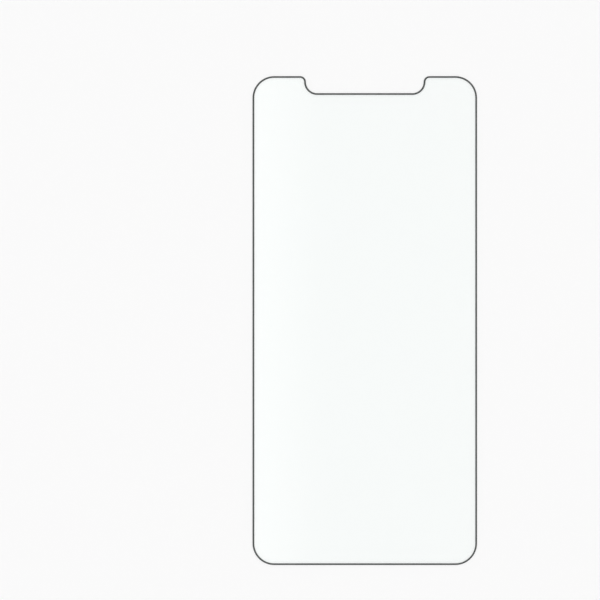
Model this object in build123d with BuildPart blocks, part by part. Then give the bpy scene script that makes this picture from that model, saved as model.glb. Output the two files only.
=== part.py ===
"""A tempered-glass screen protector: one clear sheet with a notch in its top edge and a ground rim.

The sheet lies flat. Z is up, out of the front face, and the back face is on Z = 0.
Y runs along the sheet towards the notch, and the origin is at the middle of the back face.
"""

import os

from build123d import *

# The sheet, in millimetres
glass_width = 62.0  # X
glass_length = 135.0  # Y
glass_thickness = 0.33  # Z
corner_radius = 6.0  # the four outer corners, seen from the front

# The notch in the top edge
notch_width = 32.5  # between its two walls
notch_depth = 4.7  # from the top edge down to its floor
shoulder_radius = 1.6  # where the top edge bends into the notch

# The rim, which is ground all round the outline
edge_width = 0.5  # from the rim in to the flat of the front face
rim_land = 0.1  # upright band left at the rim, under the curved edge
back_chamfer = 0.03  # sharpness taken off the back edge

# Each side of the notch is an S: the shoulder's arc runs straight on into the root's arc
root_radius = notch_depth - shoulder_radius
root_x = notch_width / 2 - root_radius
top_y = glass_length / 2
notch_floor_y = top_y - notch_depth
side_x = glass_width / 2
corner_x = side_x - corner_radius

# The curved edge is a quarter of an ellipse, level where it meets the front face and upright at the rim
edge_drop = glass_thickness - rim_land - back_chamfer


with BuildPart() as protector_glass:
    with BuildSketch() as outline:
        with BuildLine() as rim:
            # Right side, from the notch's floor round to the bottom edge
            root = JernArc((root_x, notch_floor_y), (1, 0), root_radius, 90)
            shoulder = JernArc(root @ 1, root % 1, shoulder_radius, -90)
            top_edge = Line(shoulder @ 1, (corner_x, top_y))
            top_corner = JernArc(top_edge @ 1, top_edge % 1, corner_radius, -90)
            long_edge = Line(top_corner @ 1, (side_x, corner_radius - top_y))
            JernArc(long_edge @ 1, long_edge % 1, corner_radius, -90)
            mirror(about=Plane.YZ)
            # The two edges that cross the middle
            Line((-root_x, notch_floor_y), (root_x, notch_floor_y))
            Line((-corner_x, -top_y), (corner_x, -top_y))
        make_face()
    extrude(amount=glass_thickness)
    chamfer(protector_glass.faces().sort_by(Axis.Z)[0].edges(), back_chamfer)

    # Section of the grinding wheel as it passes the middle of the notch's floor
    with BuildSketch(Plane.YZ) as wheel:
        with Locations((notch_floor_y, glass_thickness)):
            Rectangle(2 * edge_width, 2 * edge_drop)
        with Locations((notch_floor_y - edge_width, glass_thickness - edge_drop)):
            Ellipse(edge_width, edge_drop, mode=Mode.SUBTRACT)
    sweep(path=rim.wire(), mode=Mode.SUBTRACT)

protector_glass.part.label = "protector_glass"

os.makedirs("parts", exist_ok=True)
export_step(protector_glass.part, "parts/protector_glass.step")
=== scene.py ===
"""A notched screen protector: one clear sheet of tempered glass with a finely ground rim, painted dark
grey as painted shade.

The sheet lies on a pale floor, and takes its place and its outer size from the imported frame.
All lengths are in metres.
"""

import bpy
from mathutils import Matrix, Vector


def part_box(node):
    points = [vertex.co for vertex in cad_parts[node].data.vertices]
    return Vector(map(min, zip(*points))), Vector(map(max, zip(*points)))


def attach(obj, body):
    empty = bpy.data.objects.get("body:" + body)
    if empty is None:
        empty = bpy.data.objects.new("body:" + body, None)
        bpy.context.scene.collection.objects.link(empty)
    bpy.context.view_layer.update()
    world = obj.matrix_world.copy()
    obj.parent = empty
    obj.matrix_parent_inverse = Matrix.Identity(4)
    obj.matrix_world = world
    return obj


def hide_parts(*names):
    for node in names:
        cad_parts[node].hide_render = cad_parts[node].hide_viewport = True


bl_info = {
    "name": "Screen protector glass",
    "version": (1, 0, 0),
    "blender": (4, 5, 0),
    "location": "3D View > Sidebar > Protector",
    "description": "Builds a notched glass screen protector and the stage it lies on",
    "category": "Object",
}

import math
from collections import namedtuple
from itertools import pairwise

import bmesh
import bpy
from bpy.props import FloatProperty, FloatVectorProperty, IntProperty, PointerProperty
from mathutils import Vector

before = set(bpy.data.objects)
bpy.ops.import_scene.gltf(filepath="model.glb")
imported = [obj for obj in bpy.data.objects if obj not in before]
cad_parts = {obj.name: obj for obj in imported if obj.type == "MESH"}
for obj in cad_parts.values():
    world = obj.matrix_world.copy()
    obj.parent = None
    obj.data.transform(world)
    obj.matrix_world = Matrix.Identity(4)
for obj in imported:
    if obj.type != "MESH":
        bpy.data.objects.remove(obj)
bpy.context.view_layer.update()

# The CAD solid that the sheet stands for
NODE = "protector_glass"
BODY = "root"
node_low, node_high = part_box(NODE)
node_size = node_high - node_low
node_middle = (node_low + node_high) / 2

# The sheet's mesh, whose finish map holds the lengths along and across each surface
FINISH_MAP = "finish_lengths"
# The second material is the ground rim, whose dark grey is painted shade
CLEAR, GROUND_PAINTED_SHADE = 0, 1  # its materials, in order
SAME_POINT = 0.000001  # points closer than this are one

# Streaks, left on the faces by wiping and on the rim by grinding, with spreads as shares of the roughness
STREAK_DETAIL = 3
STREAK_RANGE = (0.3, 0.7)
WIPE_LENGTH = 0.03
WIPE_WIDTH = 0.004
WIPE_SPREAD = 0.5
GRIND_LENGTH = 0.006
GRIND_WIDTH = 0.00006
GRIND_SPREAD = 0.3
GRIND_DEPTH = 0.00001
GRIND_STRENGTH = 0.25

# The photograph is a square, and the sheet's length and middle in it are in its pixels
PHOTO_SIDE = 600
SHEET_LENGTH_PIXELS = 489.1
SHEET_MIDDLE_PIXELS = (364.8, 320.6)

# The floor
FLOOR_RADIUS = 6.0
FLOOR_SEGMENTS = 96
FLOOR_GAP = 0.00002

# The surroundings, where a height is the sine of its angle above the horizon
BACKDROP_HEIGHT = 0.18
WALL_HEIGHTS = (0.22, 0.5)
PANEL_COUNT = 12
PANEL_LEAN = -1.0  # radians round the wall for each height of 1
PANEL_BLUR = 0.06  # either side of 0 in the sine wave that places the panels

# The strip lamp, where places across it are shares of its width
STRIP_SIZE = (0.09, 0.6)
STRIP_PLACE = (-0.03, 0, 0.6)
STRIP_BRIGHT = 0.25  # its brightest line
STRIP_FADE = 0.625  # from that line to where it would be dark


# Sizes and looks that a user can change


class GlassSizes(bpy.types.PropertyGroup):
    """The sheet's sizes, as the CAD part has them."""

    width: FloatProperty(
        name="Width",
        description="Across the sheet",
        default=node_size.x,
        unit="LENGTH",
        subtype="DISTANCE",
    )
    length: FloatProperty(
        name="Length",
        description="From the bottom edge to the top edge beside the notch",
        default=node_size.y,
        unit="LENGTH",
        subtype="DISTANCE",
    )
    thickness: FloatProperty(
        name="Thickness",
        description="From the back face to the front face",
        default=node_size.z,
        unit="LENGTH",
        subtype="DISTANCE",
    )
    corner_radius: FloatProperty(
        name="Corner radius",
        description="The four outer corners, seen from the front",
        default=0.006,
        unit="LENGTH",
        subtype="DISTANCE",
    )
    notch_width: FloatProperty(
        name="Notch width",
        description="Between the notch's two walls",
        default=0.0325,
        unit="LENGTH",
        subtype="DISTANCE",
    )
    notch_depth: FloatProperty(
        name="Notch depth",
        description="From the top edge down to the notch's floor",
        default=0.0047,
        unit="LENGTH",
        subtype="DISTANCE",
    )
    shoulder_radius: FloatProperty(
        name="Shoulder radius",
        description="Where the top edge bends into the notch",
        default=0.0016,
        unit="LENGTH",
        subtype="DISTANCE",
    )
    edge_width: FloatProperty(
        name="Edge width",
        description="From the rim in to the flat of the front face",
        default=0.0005,
        unit="LENGTH",
        subtype="DISTANCE",
    )
    rim_land: FloatProperty(
        name="Rim land",
        description="Upright band left at the rim, under the curved edge",
        default=0.0001,
        unit="LENGTH",
        subtype="DISTANCE",
    )
    back_chamfer: FloatProperty(
        name="Back chamfer",
        description="Sharpness taken off the back edge",
        default=0.00003,
        unit="LENGTH",
        subtype="DISTANCE",
    )
    arc_steps: IntProperty(
        name="Arc steps",
        description="Straight steps in each rounded stretch of the outline",
        default=28,
        min=4,
    )
    edge_steps: IntProperty(
        name="Edge steps",
        description="Straight steps across the curved edge",
        default=12,
        min=3,
    )


class GlassFinish(bpy.types.PropertyGroup):
    """The looks of the polished faces and of the ground rim, whose dark grey is painted shade."""

    tint: FloatVectorProperty(
        name="Glass tint",
        description="Share of each colour that the sheet lets through",
        default=(0.981, 0.995, 0.99),
        size=3,
        min=0,
        max=1,
        subtype="COLOR",
    )
    refractive_index: FloatProperty(
        name="Refractive index",
        description="How strongly the glass bends and mirrors light",
        default=1.52,
        min=1,
    )
    face_roughness: FloatProperty(
        name="Face roughness",
        description="Roughness of the polished faces",
        default=0.02,
        min=0,
        max=1,
        subtype="FACTOR",
    )
    # The rim's two dark greys are painted shade. They stand in for the dark line that refraction draws
    # along a clear glass edge, and the streaks between them come from grinding.
    rim_painted_shade_dark: FloatVectorProperty(
        name="Edge, dark",
        description="Darker streaks of the ground rim",
        default=(0.036, 0.04, 0.039),
        size=3,
        min=0,
        max=1,
        subtype="COLOR",
    )
    rim_painted_shade_pale: FloatVectorProperty(
        name="Edge, pale",
        description="Paler streaks of the ground rim",
        default=(0.07, 0.075, 0.073),
        size=3,
        min=0,
        max=1,
        subtype="COLOR",
    )
    edge_roughness: FloatProperty(
        name="Edge roughness",
        description="Roughness of the ground rim",
        default=0.25,
        min=0,
        max=1,
        subtype="FACTOR",
    )
    edge_glow: FloatVectorProperty(
        name="Edge glow",
        description="Share of the light that soaks through the ground rim to what lies behind it",
        default=(0.65, 0.67, 0.665),
        size=3,
        min=0,
        max=1,
        subtype="COLOR",
    )


class StageSettings(bpy.types.PropertyGroup):
    """The floor, the light and the camera."""

    floor_colour: FloatVectorProperty(
        name="Floor colour",
        description="Colour of the pale floor",
        default=(0.98, 0.98, 0.98),
        size=3,
        min=0,
        max=1,
        subtype="COLOR",
    )
    backdrop_level: FloatProperty(
        name="Backdrop level",
        description="Brightness of the plain backdrop along the horizon",
        default=0.95,
        min=0,
    )
    wall_level: FloatProperty(
        name="Wall level",
        description="Brightness of the wall between the soft panels",
        default=0.67,
        min=0,
    )
    panel_level: FloatProperty(
        name="Panel level",
        description="Brightness of the soft panels that lean against the wall",
        default=1.07,
        min=0,
    )
    zenith_level: FloatProperty(
        name="Zenith level",
        description="Brightness of the surroundings overhead",
        default=1.1,
        min=0,
    )
    strip_level: FloatProperty(
        name="Strip level",
        description="Brightness of the long soft lamp overhead",
        default=0.45,
        min=0,
    )
    lens: FloatProperty(
        name="Lens",
        description="Focal length of the camera in millimetres",
        default=100,
        min=1,
        unit="CAMERA",
        subtype="DISTANCE_CAMERA",
    )


# Nodes


def add_node(tree, kind, inputs=None, **settings):
    """A new node with these settings. Its inputs, by name or number, take a value or a link."""
    node = tree.nodes.new(kind)
    for name, value in settings.items():
        setattr(node, name, value)
    for name, value in (inputs or {}).items():
        if isinstance(value, bpy.types.NodeSocket):
            tree.links.new(value, node.inputs[name])
        else:
            node.inputs[name].default_value = value
    return node


def maths(tree, operation, *values):
    """The result of a Math node on these values and output sockets, as an output socket."""
    node = add_node(tree, "ShaderNodeMath", dict(enumerate(values)), operation=operation)
    return node.outputs["Value"]


def streaks_group():
    """Fine streaks that run along a surface, as a value from 0 to 1."""
    group = bpy.data.node_groups.new("fine_streaks", "ShaderNodeTree")
    sockets = {"Surface": "NodeSocketVector", "Length": "NodeSocketFloat", "Width": "NodeSocketFloat"}
    for name, kind in sockets.items():
        group.interface.new_socket(name=name, in_out="INPUT", socket_type=kind)
    group.interface.new_socket(name="Streaks", in_out="OUTPUT", socket_type="NodeSocketFloat")

    given = add_node(group, "NodeGroupInput").outputs
    size = add_node(group, "ShaderNodeCombineXYZ", {"X": given["Length"], "Y": given["Width"]})
    place = add_node(
        group,
        "ShaderNodeVectorMath",
        {0: given["Surface"], 1: size.outputs["Vector"]},
        operation="DIVIDE",
    )
    noise = add_node(
        group,
        "ShaderNodeTexNoise",
        {"Vector": place.outputs["Vector"], "Scale": 1, "Detail": STREAK_DETAIL},
        noise_dimensions="2D",
    )
    low, high = STREAK_RANGE
    streaks = add_node(
        group,
        "ShaderNodeMapRange",
        {"Value": noise.outputs["Fac"], "From Min": low, "From Max": high},
    )
    add_node(group, "NodeGroupOutput", {"Streaks": streaks.outputs["Result"]})
    return group


def new_material(name):
    """An empty material and its node tree."""
    material = bpy.data.materials.new(name)
    material.use_nodes = True
    material.node_tree.nodes.clear()
    return material, material.node_tree


def placed_streaks(tree, group, length, width):
    """Streaks of this length and width along a surface, as an output socket."""
    surface = add_node(tree, "ShaderNodeUVMap", uv_map=FINISH_MAP)
    streaks = add_node(
        tree,
        "ShaderNodeGroup",
        {"Surface": surface.outputs["UV"], "Length": length, "Width": width},
        node_tree=group,
    )
    return streaks.outputs["Streaks"]


def uneven(tree, streaks, middle, spread):
    """A middle value that streaks raise and lower by up to this share of it, as an output socket."""
    value = add_node(
        tree,
        "ShaderNodeMapRange",
        {"Value": streaks, "To Min": middle * (1 - spread), "To Max": middle * (1 + spread)},
    )
    return value.outputs["Result"]


def let_light_through(tree, shader, share):
    """The shader, with this share of the light for a matt surface behind it passed straight on."""
    path = add_node(tree, "ShaderNodeLightPath")
    passed = add_node(tree, "ShaderNodeBsdfTransparent", {"Color": (*share, 1)})
    mix = add_node(
        tree,
        "ShaderNodeMixShader",
        {"Fac": path.outputs["Is Diffuse Ray"], 1: shader, 2: passed.outputs["BSDF"]},
    )
    return mix.outputs["Shader"]


def polished_glass(finish, group):
    """Polished clear glass, with faint wiping marks in its gloss."""
    material, tree = new_material("polished_glass")
    wiping = placed_streaks(tree, group, WIPE_LENGTH, WIPE_WIDTH)
    glass = add_node(
        tree,
        "ShaderNodeBsdfPrincipled",
        {
            "Base Color": (*finish.tint, 1),
            "Roughness": uneven(tree, wiping, finish.face_roughness, WIPE_SPREAD),
            "IOR": finish.refractive_index,
            "Transmission Weight": 1,
        },
    )
    share_of_each_face = [math.sqrt(share) for share in finish.tint]
    shader = let_light_through(tree, glass.outputs["BSDF"], share_of_each_face)
    add_node(tree, "ShaderNodeOutputMaterial", {"Surface": shader})
    return material


def ground_edge_painted_shade(finish, group):
    """Finely ground glass, painted dark grey as painted shade for the dark line that refraction draws
    along a clear edge, with streaks along the rim from the grinding wheel.
    """
    material, tree = new_material("ground_edge_painted_shade")
    grinding = placed_streaks(tree, group, GRIND_LENGTH, GRIND_WIDTH)
    # Painted shade: the rim's dark grey stands in for the dark line that refraction draws along a clear
    # edge
    colour = add_node(
        tree,
        "ShaderNodeMix",
        {"Factor": grinding, "A": (*finish.rim_painted_shade_dark, 1), "B": (*finish.rim_painted_shade_pale, 1)},
        data_type="RGBA",
    )
    bump = add_node(
        tree,
        "ShaderNodeBump",
        {"Height": grinding, "Strength": GRIND_STRENGTH, "Distance": GRIND_DEPTH},
    )
    edge = add_node(
        tree,
        "ShaderNodeBsdfPrincipled",
        {
            "Base Color": colour.outputs["Result"],
            "Roughness": uneven(tree, grinding, finish.edge_roughness, GRIND_SPREAD),
            "IOR": finish.refractive_index,
            "Normal": bump.outputs["Normal"],
        },
    )
    shader = let_light_through(tree, edge.outputs["BSDF"], finish.edge_glow)
    add_node(tree, "ShaderNodeOutputMaterial", {"Surface": shader})
    return material


# The sheet

# A rounded stretch of the outline, between two angles in degrees. A hollow one bends into the glass
RimArc = namedtuple("RimArc", "centre radius start end hollow")


def rim_arcs(sizes):
    """The rounded stretches of the outline's right half, from the notch down."""
    side = sizes.width / 2
    top = sizes.length / 2
    wall = sizes.notch_width / 2
    shoulder = sizes.shoulder_radius
    root = sizes.notch_depth - shoulder
    corner = sizes.corner_radius
    if not 0 < root < wall:
        raise ValueError("The notch is too shallow for its shoulders, or too narrow for its depth")
    if wall + shoulder > side - corner:
        raise ValueError("The notch leaves no room for the corners beside it")
    if sizes.edge_width >= min(shoulder, corner):
        raise ValueError("The edge is too wide for the shoulders or the corners that it runs round")
    return [
        RimArc((wall - root, top - shoulder), root, -90, 0, True),
        RimArc((wall + shoulder, top - shoulder), shoulder, 180, 90, False),
        RimArc((side - corner, top - corner), corner, 90, 0, False),
        RimArc((side - corner, corner - top), corner, 0, -90, False),
    ]


def rim_outline(sizes):
    """Points clockwise round the rim from the notch, each with its direction out of the glass."""
    right = []
    for arc in rim_arcs(sizes):
        for step in range(sizes.arc_steps + 1):
            angle = math.radians(arc.start + (arc.end - arc.start) * step / sizes.arc_steps)
            spoke = Vector((math.cos(angle), math.sin(angle)))
            point = Vector(arc.centre) + spoke * arc.radius
            if not right or (point - right[-1][0]).length > SAME_POINT:
                right.append((point, -spoke if arc.hollow else spoke))
    mirror = Vector((-1, 1))
    left = [(point * mirror, facing * mirror) for point, facing in reversed(right)]
    return right + left


def edge_section(sizes):
    """Distance in from the rim, and height, of each line round the edge, from back to front."""
    rim_top = sizes.back_chamfer + sizes.rim_land
    drop = sizes.thickness - rim_top
    if drop <= 0:
        raise ValueError("The glass is too thin for its rim land and back chamfer")
    section = [(sizes.back_chamfer, 0.0), (0.0, sizes.back_chamfer)]
    for step in range(sizes.edge_steps + 1):
        turn = math.pi / 2 * step / sizes.edge_steps
        inset = sizes.edge_width * (1 - math.cos(turn))
        section.append((inset, rim_top + drop * math.sin(turn)))
    return section


def lengths_along(points, closed):
    """Distance from the first point to each point in turn, and back to the first if closed."""
    stops = points + points[:1] if closed else points
    lengths = [0.0]
    for here, there in pairwise(stops):
        lengths.append(lengths[-1] + (there - here).length)
    return lengths


def glass_mesh(sizes):
    """The closed sheet: two flat faces, and rows of strips round the edge between them."""
    outline = rim_outline(sizes)
    section = edge_section(sizes)
    along = lengths_along([point for point, facing in outline], closed=True)
    across = lengths_along([Vector(line) for line in section], closed=False)
    count = len(outline)

    shape = bmesh.new()
    lengths = shape.loops.layers.uv.new(FINISH_MAP)
    rings = []
    for inset, height in section:
        places = [point - facing * inset for point, facing in outline]
        rings.append([shape.verts.new((*place, height)) for place in places])

    # The lowest row is the back chamfer, which is clear, and the rows above it are ground and painted
    # dark grey as painted shade
    for row, (lower, upper) in enumerate(pairwise(rings)):
        for i in range(count):
            j = (i + 1) % count
            strip = shape.faces.new((lower[i], upper[i], upper[j], lower[j]))
            strip.material_index = GROUND_PAINTED_SHADE if row else CLEAR
            strip.smooth = True
            corners = ((i, row), (i, row + 1), (i + 1, row + 1), (i + 1, row))
            for loop, (stop, line) in zip(strip.loops, corners):
                loop[lengths].uv = (along[stop], across[line])

    # The flat faces are wiped from end to end of the sheet
    for face in (shape.faces.new(rings[0]), shape.faces.new(reversed(rings[-1]))):
        face.material_index = CLEAR
        for loop in face.loops:
            loop[lengths].uv = loop.vert.co.yx
    bmesh.ops.recalc_face_normals(shape, faces=shape.faces)

    # Both edges of the back chamfer stay crisp
    for ring in rings[:2]:
        for i in range(count):
            shape.edges.get((ring[i], ring[(i + 1) % count])).smooth = False

    mesh = bpy.data.meshes.new("glass_sheet")
    shape.to_mesh(mesh)
    shape.free()
    return mesh


class PROTECTOR_OT_glass_sheet(bpy.types.Operator):
    """Build the notched glass sheet in the CAD part's place"""

    bl_idname = "protector.glass_sheet"
    bl_label = "Glass sheet"

    def execute(self, context):
        sizes = context.scene.protector_sizes
        finish = context.scene.protector_finish
        sheet = bpy.data.objects.new("glass_sheet", glass_mesh(sizes))
        sheet.location = (node_middle.x, node_middle.y, node_low.z)
        group = streaks_group()
        sheet.data.materials.append(polished_glass(finish, group))
        sheet.data.materials.append(ground_edge_painted_shade(finish, group))
        # Lamps shine through the sheet, and its soft shadow is in the light of the surroundings
        sheet.visible_shadow = False
        context.collection.objects.link(sheet)
        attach(sheet, BODY)
        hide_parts(NODE)
        return {"FINISHED"}


# The stage


def pale_floor(stage):
    """A plain matt floor."""
    material, tree = new_material("pale_floor")
    paint = add_node(tree, "ShaderNodeBsdfDiffuse", {"Color": (*stage.floor_colour, 1)})
    add_node(tree, "ShaderNodeOutputMaterial", {"Surface": paint.outputs["BSDF"]})
    return material


def lay_floor(context, stage):
    """A wide round floor just under the sheet."""
    shape = bmesh.new()
    bmesh.ops.create_circle(shape, cap_ends=True, segments=FLOOR_SEGMENTS, radius=FLOOR_RADIUS)
    mesh = bpy.data.meshes.new("floor")
    shape.to_mesh(mesh)
    shape.free()
    mesh.materials.append(pale_floor(stage))
    floor = bpy.data.objects.new("floor", mesh)
    floor.location.z = node_low.z - FLOOR_GAP
    context.collection.objects.link(floor)


def by_height(tree, height, backdrop, wall, zenith):
    """A brightness for each height above the horizon, as an output socket."""
    bands = add_node(tree, "ShaderNodeValToRGB", {"Fac": height})
    stops = bands.color_ramp.elements
    stops[0].position = BACKDROP_HEIGHT
    stops[0].color = (backdrop, backdrop, backdrop, 1)
    stops[1].color = (zenith, zenith, zenith, 1)
    for wall_height in WALL_HEIGHTS:
        stops.new(wall_height).color = (wall, wall, wall, 1)
    return bands.outputs["Color"]


def leaning_panels(tree, axes):
    """1 on the panels that lean round the wall and 0 in the gaps between them, as an output socket."""
    turn = maths(tree, "ARCTAN2", axes["Y"], axes["X"])
    leaning = maths(tree, "MULTIPLY_ADD", axes["Z"], PANEL_LEAN, turn)
    wave = maths(tree, "SINE", maths(tree, "MULTIPLY", leaning, PANEL_COUNT))
    panels = add_node(
        tree,
        "ShaderNodeMapRange",
        {"Value": wave, "From Min": -PANEL_BLUR, "From Max": PANEL_BLUR},
        interpolation_type="SMOOTHSTEP",
    )
    return panels.outputs["Result"]


def surround(context, stage):
    """Plain surroundings: a pale backdrop, a wall with soft panels leaning on it and a bright ceiling."""
    world = bpy.data.worlds.new("surroundings")
    world.use_nodes = True
    tree = world.node_tree
    tree.nodes.clear()
    direction = add_node(tree, "ShaderNodeTexCoord").outputs["Generated"]
    axes = add_node(tree, "ShaderNodeSeparateXYZ", {"Vector": direction}).outputs
    bare, panelled = (
        by_height(tree, axes["Z"], stage.backdrop_level, wall, stage.zenith_level)
        for wall in (stage.wall_level, stage.panel_level)
    )
    colour = add_node(
        tree,
        "ShaderNodeMix",
        {"Factor": leaning_panels(tree, axes), "A": bare, "B": panelled},
        data_type="RGBA",
    )
    light = add_node(tree, "ShaderNodeBackground", {"Color": colour.outputs["Result"]})
    add_node(tree, "ShaderNodeOutputWorld", {"Surface": light.outputs["Background"]})
    context.scene.world = world


def fade_across(tree):
    """A lamp's brightness across its width, as an output socket."""
    place = add_node(tree, "ShaderNodeNewGeometry").outputs["Parametric"]
    across = add_node(tree, "ShaderNodeSeparateXYZ", {"Vector": place}).outputs["X"]
    fade = add_node(
        tree,
        "ShaderNodeMapRange",
        {
            "Value": maths(tree, "ABSOLUTE", maths(tree, "SUBTRACT", across, STRIP_BRIGHT)),
            "From Max": STRIP_FADE,
            "To Min": 1,
            "To Max": 0,
        },
        interpolation_type="SMOOTHSTEP",
    )
    return fade.outputs["Result"]


def hang_strip(context, stage):
    """A soft strip lamp overhead, whose reflection lies along one side of the glass."""
    lamp = bpy.data.lights.new("strip", "AREA")
    lamp.shape = "RECTANGLE"
    lamp.size, lamp.size_y = STRIP_SIZE
    lamp.energy = stage.strip_level * math.pi * lamp.size * lamp.size_y
    lamp.use_nodes = True
    tree = lamp.node_tree
    tree.links.new(fade_across(tree), tree.nodes["Emission"].inputs["Strength"])
    strip = bpy.data.objects.new("strip", lamp)
    strip.location = STRIP_PLACE
    context.collection.objects.link(strip)


def set_camera(context, stage):
    """The photograph's view, straight down on the sheet."""
    data = bpy.data.cameras.new("camera")
    data.lens = stage.lens
    camera = bpy.data.objects.new("camera", data)
    pixel = node_size.y / SHEET_LENGTH_PIXELS
    right, down = (place - PHOTO_SIDE / 2 for place in SHEET_MIDDLE_PIXELS)
    height = pixel * PHOTO_SIDE * data.lens / data.sensor_width
    camera.location = (node_middle.x - right * pixel, node_middle.y + down * pixel, node_high.z + height)
    context.collection.objects.link(camera)
    context.scene.camera = camera


class PROTECTOR_OT_stage(bpy.types.Operator):
    """Lay the floor, set the light round it and place the camera"""

    bl_idname = "protector.stage"
    bl_label = "Stage"

    def execute(self, context):
        stage = context.scene.protector_stage
        lay_floor(context, stage)
        surround(context, stage)
        hang_strip(context, stage)
        set_camera(context, stage)
        context.scene.view_settings.view_transform = "Standard"
        return {"FINISHED"}


# The add-on


class PROTECTOR_PT_sidebar(bpy.types.Panel):
    """The protector's pieces, sizes and finishes"""

    bl_idname = "PROTECTOR_PT_sidebar"
    bl_label = "Screen protector"
    bl_space_type = "VIEW_3D"
    bl_region_type = "UI"
    bl_category = "Protector"

    def draw(self, context):
        scene = context.scene
        steps = (
            (PROTECTOR_OT_glass_sheet, (scene.protector_sizes, scene.protector_finish)),
            (PROTECTOR_OT_stage, (scene.protector_stage,)),
        )
        for operator, groups in steps:
            box = self.layout.box()
            box.operator(operator.bl_idname)
            for group in groups:
                for name in group.__annotations__:
                    box.prop(group, name)


CLASSES = (
    GlassSizes,
    GlassFinish,
    StageSettings,
    PROTECTOR_OT_glass_sheet,
    PROTECTOR_OT_stage,
    PROTECTOR_PT_sidebar,
)


def register():
    """Add the classes and the scene's settings."""
    for cls in CLASSES:
        bpy.utils.register_class(cls)
    bpy.types.Scene.protector_sizes = PointerProperty(type=GlassSizes)
    bpy.types.Scene.protector_finish = PointerProperty(type=GlassFinish)
    bpy.types.Scene.protector_stage = PointerProperty(type=StageSettings)


def unregister():
    """Remove them again."""
    del bpy.types.Scene.protector_stage
    del bpy.types.Scene.protector_finish
    del bpy.types.Scene.protector_sizes
    for cls in reversed(CLASSES):
        bpy.utils.unregister_class(cls)


def main():
    """Build everything."""
    register()
    bpy.ops.protector.glass_sheet()
    bpy.ops.protector.stage()


if __name__ == "__main__":
    main()
